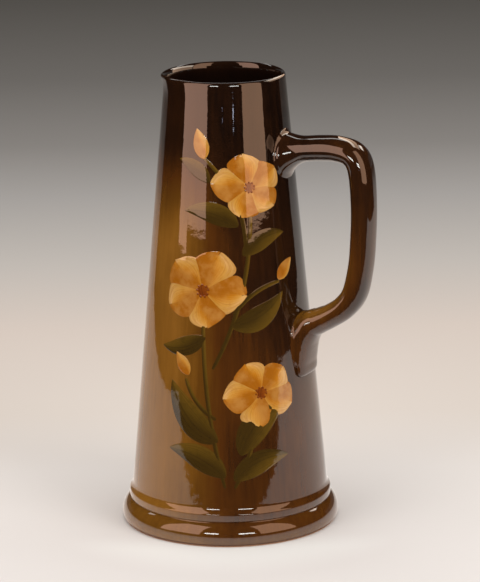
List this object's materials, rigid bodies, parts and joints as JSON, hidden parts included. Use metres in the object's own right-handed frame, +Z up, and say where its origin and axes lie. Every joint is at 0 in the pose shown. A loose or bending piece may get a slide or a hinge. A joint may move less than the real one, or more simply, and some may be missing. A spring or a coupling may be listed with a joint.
{
  "type": "pouring jug",
  "caption": "Tall tapered pouring jug in glazed earthenware, with a moulded round foot, a small pulled lip, a squared loop handle and a raised slip spray of blossoms and leaves.",
  "frame": {"origin": "middle of the flat underside of the foot, on the surface that the jug stands on", "axes": "+Z up along the axis of the jug, +X out along the loop handle"},
  "size_m": [0.1499, 0.1216, 0.254],
  "materials": {
    "clay": "bare fired earthenware, matt, seen only under the foot",
    "blossom_slip": "orange to straw-yellow slip under clear amber glaze",
    "middle_slip": "rust-brown slip under clear amber glaze",
    "leaf_slip": "olive-green slip under clear amber glaze",
    "outside_glaze": "high-gloss amber-brown glaze over a shaded ground, dark mahogany to golden olive",
    "inside_glaze": "high-gloss dark brown lining glaze"
  },
  "bodies": {
    "root": {"body": "clay", "handle": "clay", "upper_luting": "clay", "lower_luting": "clay", "blossom_slip": "blossom_slip", "blossom_middle_slip": "middle_slip", "leaf_slip": "leaf_slip", "stem_slip": "leaf_slip", "outside_glaze": "outside_glaze", "inside_glaze": "inside_glaze", "handle_glaze": "outside_glaze"}
  },
  "joints": []
}
